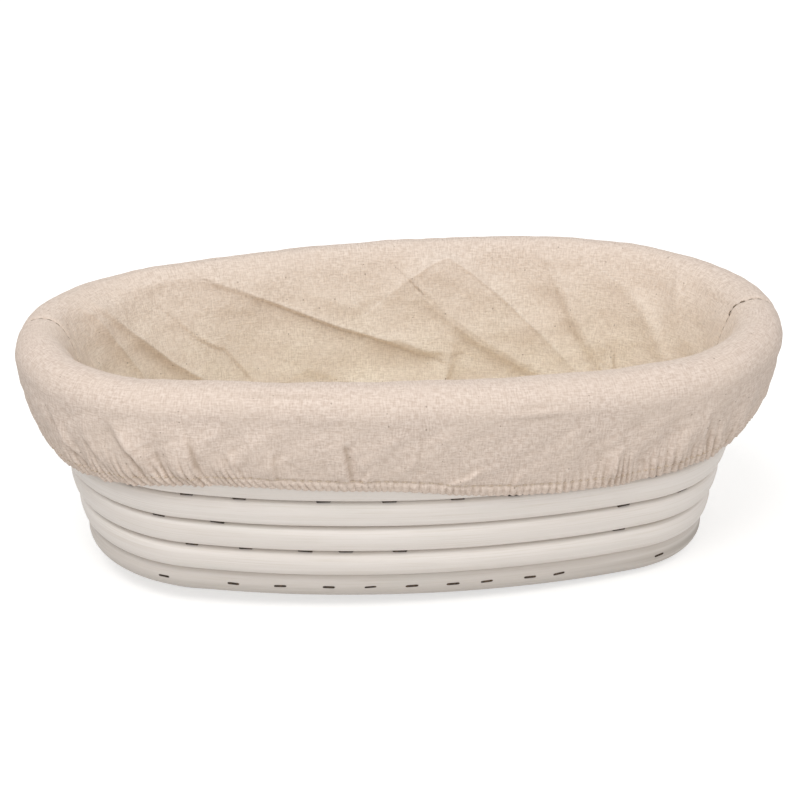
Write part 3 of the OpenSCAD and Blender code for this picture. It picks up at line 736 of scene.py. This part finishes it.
    # outside: gathers that the elastic makes, close and slanted at the hem, fewer and upright above it
    rng = np.random.default_rng(seed + 3)
    up = np.maximum(above, 0)
    slant = 0.95 * eased(-along, -5, 60) - 0.4 * eased(-along, 92, 115) + 0.3 * eased(along, 50, 90)
    lean_u = along + slant * 6 * (1 - np.exp(-up / 6))
    drift = sum(
        rng.uniform(0.15, 0.5) * np.sin(2 * np.pi * lean_u / rng.uniform(11, 60) + rng.uniform(0, 6))
        for _ in range(7)
    )
    pleat_w = 2.4
    pleat = np.abs(np.cos(np.pi * lean_u / pleat_w + drift)) ** 0.8
    tight = eased(np.abs(along + 5), 38, 72)
    by_chance = 1 + 0.25 * crumple(along, 0 * along, 34, seed + 4)
    strength = np.clip((0.25 + 1.15 * tight) * by_chance, 0.15, 1.6)
    uneven = np.clip(0.75 + 0.3 * crumple(lean_u, 0 * lean_u, 9, seed + 11), 0.3, 1.2)
    medium = crumple(lean_u, 0.15 * up, 7, seed + 5)
    broad = crumple(lean_u, 0.4 * above, 15, seed + 6)
    reach = (4.5 + 3.5 * tight) * (0.6 + 0.5 * uneven)
    gather = strength * (
        1.25 * uneven * pleat * np.exp(-((up / reach) ** 2))
        + 0.6 * medium * eased(up, 2, 7) * np.exp(-((up / 13) ** 2))
        + 0.5 * broad * eased(up, 2, 7) * np.exp(-((up / 20) ** 2))
    )
    # below the stitches the edge stands in teeth where the hem is least gathered
    toothed = 1 - tight
    header = eased(3.1 - above, 0, 1.3)
    gather = gather + 0.4 * toothed * header * pleat
    gather = gather - (0.08 + 0.25 * toothed) * np.exp(-(((above - stitch_up) / 0.5) ** 2))
    crease = 0
    for line, height, left, right, curl in creases:
        aside = 1.3 if left < right else -1.3
        crease = crease + fold_line(u, above, line, 2 * height, left, right, curl)
        crease = crease - fold_line(u - aside, above, line, height, 1.4, 1.4, 1.5)
    rumple = 0.24 * crumple(u, v, 11, seed + 7) + 0.09 * crumple(u, v, 4.5, seed + 12)
    open_part = eased(up, 4, 9) * eased(top_z - z, 0, 8)
    move = move + (kind == 2) * crease + (kind == 3) * (skirt_top * (gather + crease) + open_part * rumple)
    edge = strength * 1.25 * uneven * pleat + 0.4 * toothed * pleat
    # the panels dip and turn in where they are sewn together
    settled = eased(seam_far, 0, 8)
    dip = 0.4 * np.exp(-((seam_far / 1.3) ** 2)) + 0.5 * np.exp(-((seam_far / 0.4) ** 2))
    move = move * settled - dip * (kind <= 3)
    # a hollow is a place that lies deeper than the cloth round it
    deep = np.where(kind == 1, 1.0, 0.5)
    # the material paints the cloth darker by this amount, as shade in the folds
    hollow = np.clip((softened(move) - move) / deep, 0, 1) * (kind >= 1) * (kind <= 3)
    out = out + move * face_out + (kind >= 4) * edge * settled
    z = z + move * face_z - 0.2 * (kind >= 3) * header * toothed * pleat * settled
    # clear of the cane, with the skirt eased over it
    clear_out, clear_z = off_the_cane(turn, out, z, cloth_room)
    press = (kind >= 1) * (clear_out - out)
    easy = softened(softened(press))
    out = out + np.where(kind == 3, np.maximum(press, 1.4 * easy), press)
    z = np.where(kind >= 1, clear_z, z)
    x, y = oval(np.broadcast_to(angle, out.shape), out)
    # the bottom, from the seam along its middle to the corner of the wall
    bottom_x, bottom_y = x[0], y[0]
    floor_rows = []
    floor_v = []
    for f in np.linspace(0, 1, 34)[:-1]:
        reach = f * np.abs(bottom_y)
        seam_dip = 0.6 * np.exp(-((reach / 1.4) ** 2))
        lying = eased(reach, 0, 10) * 0.5 * (1.2 + crumple(bottom_x, bottom_y * f, 26, seed + 8))
        level = bottom_z + lying * eased(np.abs(bottom_y) - reach, 0, 6)
        floor_rows.append(np.stack([bottom_x, bottom_y * f, level - seam_dip], -1))
        floor_v.append(reach - np.abs(bottom_y))
    points = np.concatenate([np.stack(floor_rows), np.stack([x, y, z], -1)])
    places = np.stack([np.broadcast_to(along, points.shape[:2]), np.concatenate([np.stack(floor_v), v])], -1)
    hollow = np.concatenate([np.zeros((len(floor_rows), len(turn))), hollow])
    return points, places, hollow


def grid_faces(rows, cols):
    i, j = np.meshgrid(np.arange(rows - 1), np.arange(cols - 1), indexing="ij")
    a = i * cols + j
    return np.stack([a, a + 1, a + cols + 1, a + cols], -1).reshape(-1, 4).tolist()


# the seam at the left end has slipped 11 mm towards the back
gap = 0.0002
left_end_turn = 0.5 + 11 / turn_len
front_turn = np.linspace(gap, left_end_turn - gap, columns + 1)
front_points, front_places, front_hollow = panel_surface(
    front_turn, (0.25 - front_turn) * turn_len, front_folds, [], front_creases, 5, 11
)
back_turn = np.linspace(left_end_turn + gap, 1 - gap, columns + 1)
back_points, back_places, back_hollow = panel_surface(
    back_turn, (back_turn - 0.75) * turn_len, back_folds, back_lines, back_creases, -3.5, 41
)
panel_faces = grid_faces(*front_points.shape[:2])
for name, points, places, hollow, node in [
    ("front_cloth_panel", front_points, front_places, front_hollow, "liner_front_panel"),
    ("back_cloth_panel", back_points, back_places + [400, 0], back_hollow, "liner_back_panel"),
]:
    panel = make_piece(
        name,
        points.reshape(-1, 3),
        panel_faces,
        cloth,
        "liner",
        [node],
        places.reshape(-1, 2),
        "weave",
        groove=hollow.ravel(),
    )

# The elastic is a narrow covered band in the hem, one closed ring through both panels. It is sewn in
# stretched, which gathers the cloth and holds the skirt against the wall.

# Knitted polyester over rubber threads: off-white, ribbed along its length, dull.
band, tree = bare_material("knitted_elastic")
run = add(tree, "ShaderNodeUVMap", uv_map="grain").outputs["UV"]
# four ribs across 2.5 mm, and knit stitches 0.8 mm long
rib_place = add(tree, "ShaderNodeVectorMath", {0: run, 1: (7850, 10000, 1)}, operation="MULTIPLY").outputs[0]
rib_parts = add(tree, "ShaderNodeSeparateXYZ", {0: rib_place})
knit = add(tree, "ShaderNodeMath", {0: rib_parts.outputs["X"]}, operation="SINE").outputs[0]
rib = add(tree, "ShaderNodeMath", {0: rib_parts.outputs["Y"]}, operation="SINE").outputs[0]
ribbed = add(tree, "ShaderNodeMath", {0: knit, 1: 0.4, 2: rib}, operation="MULTIPLY_ADD").outputs[0]
rib_part = add(tree, "ShaderNodeMapRange", {"Value": ribbed, 1: -1.3, 2: 1.3}).outputs[0]
off_white = add(
    tree, "ShaderNodeMix", {0: rib_part, 6: linear("#C9C3B7"), 7: linear("#ECE8DF")}, data_type="RGBA"
).outputs[2]
ridges = add(tree, "ShaderNodeBump", {"Strength": 0.5, "Distance": 0.0001, "Height": ribbed}).outputs[0]
skin = add(tree, "ShaderNodeBsdfPrincipled", {"Base Color": off_white, "Roughness": 0.8, "Normal": ridges})
add(tree, "ShaderNodeOutputMaterial", {"Surface": skin.outputs[0]})

band_turn = np.linspace(0, 1, 900, endpoint=False)
band_angle = turn_angle(band_turn)
band_z = hem_height(band_turn) + band_up
# the section of the band, 0.8 mm thick and 2 mm high with its corners cut
section = np.array(
    [[-0.3, -1], [0.3, -1], [0.4, -0.8], [0.4, 0.8], [0.3, 1], [-0.3, 1], [-0.4, 0.8], [-0.4, -0.8]]
)
inside_hem = 0.68
band_rings = []
for wide, tall in section:
    bx, by = oval(band_angle, hem_out(band_turn) + (band_up + tall) * math.tan(lean) - inside_hem + wide)
    band_rings.append(np.stack([bx, by, band_z + tall], -1))
band_rings = np.stack(band_rings, 1)
band_uv = np.stack(np.broadcast_arrays((band_turn * turn_len)[:, None], section[:, 1]), -1)
make_piece(
    "hem_band",
    band_rings.reshape(-1, 3),
    swept(band_rings, True),
    band,
    "liner",
    ["hem_elastic"],
    band_uv.reshape(-1, 2),
)

# The seams are sewn with a brown-grey cotton thread: a line of stitches over both ends and along the
# bottom where the panels meet, and one round the top of the hem that closes it over the elastic.

# Spun cotton sewing thread: two plies twisted together, dull.
thread, tree = bare_material("spun_cotton_thread")
spot = add(tree, "ShaderNodeTexCoord").outputs["Object"]
# a ply is about 0.3 mm
ply = add(tree, "ShaderNodeTexNoise", {"Vector": spot, "Scale": 2600, "Detail": 2}).outputs["Fac"]
ply_part = add(tree, "ShaderNodeMapRange", {"Value": ply, 1: 0.35, 2: 0.65}).outputs[0]
brown_grey = add(
    tree, "ShaderNodeMix", {0: ply_part, 6: linear("#786A5A"), 7: linear("#A19280")}, data_type="RGBA"
).outputs[2]
ridges = add(tree, "ShaderNodeBump", {"Strength": 0.4, "Distance": 0.00008, "Height": ply}).outputs[0]
skin = add(tree, "ShaderNodeBsdfPrincipled", {"Base Color": brown_grey, "Roughness": 0.85, "Normal": ridges})
add(tree, "ShaderNodeOutputMaterial", {"Surface": skin.outputs[0]})
ecru_thread = thread.copy()
ecru_thread.name = "spun_cotton_thread_ecru"
tint = [n for n in ecru_thread.node_tree.nodes if n.type == "MIX"][0]
tint.inputs[6].default_value = linear("#B9A690")
tint.inputs[7].default_value = linear("#D8C8B5")


def stitches(paths, every, length, thick, lift):
    """Short rounded stitches along paths of (point, outward direction)."""
    points, faces = [], []
    spin = np.linspace(0, 2 * np.pi, 8, endpoint=False)
    ends = np.array([-0.5, -0.46, -0.36, -0.2, 0, 0.2, 0.36, 0.46, 0.5])
    fat = np.array([0.15, 0.6, 0.9, 1, 1, 1, 0.9, 0.6, 0.15])
    sink = 1.2 * (2 * ends) ** 4
    for path, outward in paths:
        far = np.concatenate([[0], np.cumsum(np.linalg.norm(np.diff(path, axis=0), axis=1))])
        count = int(far[-1] / every)
        for k in range(count):
            middle = (k + 0.5) * far[-1] / count
            at = middle + ends * length
            line = np.stack([np.interp(at, far, path[:, c]) for c in range(3)], 1)
            up = np.array([np.interp(middle, far, outward[:, c]) for c in range(3)])
            up /= np.linalg.norm(up)
            run = line[-1] - line[0]
            run /= np.linalg.norm(run)
            across = np.cross(run, up)
            across /= np.linalg.norm(across)
            line = line + up * (lift - sink * thick)[:, None]
            r = 0.5 * thick * fat[:, None, None]
            rings = line[:, None] + r * (
                np.cos(spin)[None, :, None] * across + np.sin(spin)[None, :, None] * np.cross(across, run)
            )
            offset = len(points) * rings.shape[0] * 8
            faces += [[v + offset for v in f] for f in swept(rings)]
            points.append(rings.reshape(-1, 3))
    return np.concatenate(points), faces


def seam_path(edge_front, edge_back):
    """The line between the edges of the two panels, and the way out of the cloth along it."""
    path = (edge_front + edge_back) / 2
    run = np.gradient(path, axis=0)
    outward = np.cross(run, [0, 1, 0]) * np.sign(path[:, :1].mean())
    return path, outward


# rows of the panels: those of the bottom come first, and the seams at the ends stop above the hem
bottom_rows = 33
seam_rows = slice(bottom_rows, front_points.shape[0] - 14)
right_seam = seam_path(front_points[seam_rows, 0], back_points[seam_rows, -1])
left_seam = seam_path(front_points[seam_rows, -1], back_points[seam_rows, 0])
bottom_line = np.concatenate([front_points[0, 20:-1], front_points[1:bottom_rows, -1]])
bottom_seam = (bottom_line, np.tile([0.0, 0.0, 1.0], (len(bottom_line), 1)))
seam_points, seam_faces = stitches([right_seam, left_seam, bottom_seam], 2.9, 2.3, 0.36, 0.3)
seam_stitches = make_piece(
    "seam_stitches", seam_points, seam_faces, thread, "liner", ["liner_seam_thread"]
)
hem_paths = []
for points, turn in ((front_points, front_turn), (back_points, back_turn)):
    skirt = points[-70:-13]
    row = np.abs(skirt[:, :, 2] - (hem_height(turn) + stitch_up)).argmin(0)
    path = skirt[row, np.arange(skirt.shape[1])][8:-8]
    outward = np.cross(np.gradient(path, axis=0), [0, 0, 1.0])
    outward *= np.sign((outward * path * [1, 1, 0]).sum(1))[:, None]
    hem_paths.append((path, outward))
hem_points, hem_faces = stitches(hem_paths, 2.9, 2.2, 0.42, 0.12)
hem_stitches = make_piece(
    "hem_stitches", hem_points, hem_faces, ecru_thread, "liner", ["hem_thread"]
)

# A plain pale table top, lit by two large soft lamps, one high and one low in front, and by the white
# room, as in a studio for small goods. The table shows white to the camera and keeps the shadow of
# the basket.
table_white, tree = bare_material("matt_white_table")
spot = add(tree, "ShaderNodeTexCoord").outputs["Object"]
# paper grain about 2 mm across
paper = add(tree, "ShaderNodeTexNoise", {"Vector": spot, "Scale": 500, "Detail": 2}).outputs["Fac"]
paper_part = add(tree, "ShaderNodeMapRange", {"Value": paper, 1: 0.3, 2: 0.7}).outputs[0]
white = add(
    tree, "ShaderNodeMix", {0: paper_part, 6: linear("#CDCCCA"), 7: linear("#D1D0CE")}, data_type="RGBA"
).outputs[2]
matt = add(tree, "ShaderNodeBsdfDiffuse", {"Color": white}).outputs[0]


def rays_of_sight(tree):
    """One for rays from the camera, also in shiny or clear surfaces, and nought for other light."""
    rays = add(tree, "ShaderNodeLightPath").outputs
    seen = add(
        tree, "ShaderNodeMath", {0: rays["Is Camera Ray"], 1: rays["Is Glossy Ray"]}, operation="MAXIMUM"
    ).outputs[0]
    return add(
        tree, "ShaderNodeMath", {0: seen, 1: rays["Is Transmission Ray"]}, operation="MAXIMUM"
    ).outputs[0]


glow = add(tree, "ShaderNodeMath", {0: rays_of_sight(tree), 1: 0.58}, operation="MULTIPLY").outputs[0]
lit = add(tree, "ShaderNodeEmission", {"Color": (1, 1, 1, 1), "Strength": glow}).outputs[0]
both = add(tree, "ShaderNodeAddShader", {0: matt, 1: lit}).outputs[0]
add(tree, "ShaderNodeOutputMaterial", {"Surface": both})
table_mesh = bpy.data.meshes.new("table")
table_r, table_sides = 4, 64
table_edge = []
for k in range(table_sides):
    corner_angle = 2 * math.pi * k / table_sides
    table_edge.append((table_r * math.cos(corner_angle), table_r * math.sin(corner_angle), 0))
table_mesh.from_pydata(table_edge, [], [list(range(table_sides))])
table_mesh.materials.append(table_white)
table = bpy.data.objects.new("table", table_mesh)
bpy.context.scene.collection.objects.link(table)

for name, place, size, power in [
    ("high_front_lamp", (-0.45, -0.65, 1.55), 1.2, 13.3),
    ("low_front_lamp", (0.3, -1.6, 0.6), 1.2, 6),
]:
    lamp = bpy.data.lights.new(name, "AREA")
    lamp.shape = "DISK"
    lamp.size = size
    lamp.energy = power
    holder = bpy.data.objects.new(name, lamp)
    holder.location = place
    holder.rotation_euler = (Vector((0, 0, 0.04)) - Vector(place)).to_track_quat("-Z", "Y").to_euler()
    bpy.context.scene.collection.objects.link(holder)

world = bpy.data.worlds.new("studio")
world.use_nodes = True
tree = world.node_tree
tree.nodes.clear()
level = add(tree, "ShaderNodeMapRange", {"Value": rays_of_sight(tree), 3: 0.62, 4: 1}).outputs[0]
sky = add(tree, "ShaderNodeBackground", {"Color": (1, 1, 1, 1), "Strength": level}).outputs[0]
add(tree, "ShaderNodeOutputWorld", {"Surface": sky})
bpy.context.scene.world = world

# The camera stands a metre away, a little to the left of the middle and 26 degrees above the table,
# with a long lens.
camera = bpy.data.cameras.new("camera")
camera.sensor_width = 36
camera.lens = 135
camera.clip_start = 0.05
eye = bpy.data.objects.new("camera", camera)
az, el = math.radians(-6.8), math.radians(25.62)
back = Vector((math.sin(az) * math.cos(el), -math.cos(az) * math.cos(el), math.sin(el)))
upright = Vector((-math.sin(az) * math.sin(el), math.cos(az) * math.sin(el), math.cos(el)))
basket_middle = Vector((0, 0, 0.040))
eye.location = basket_middle + back * 1.0285
aim = basket_middle + upright * 0.0105
eye.rotation_euler = (aim - eye.location).to_track_quat("-Z", "Y").to_euler()
bpy.context.scene.collection.objects.link(eye)
bpy.context.scene.camera = eye
bpy.context.scene.view_settings.view_transform = "Standard"
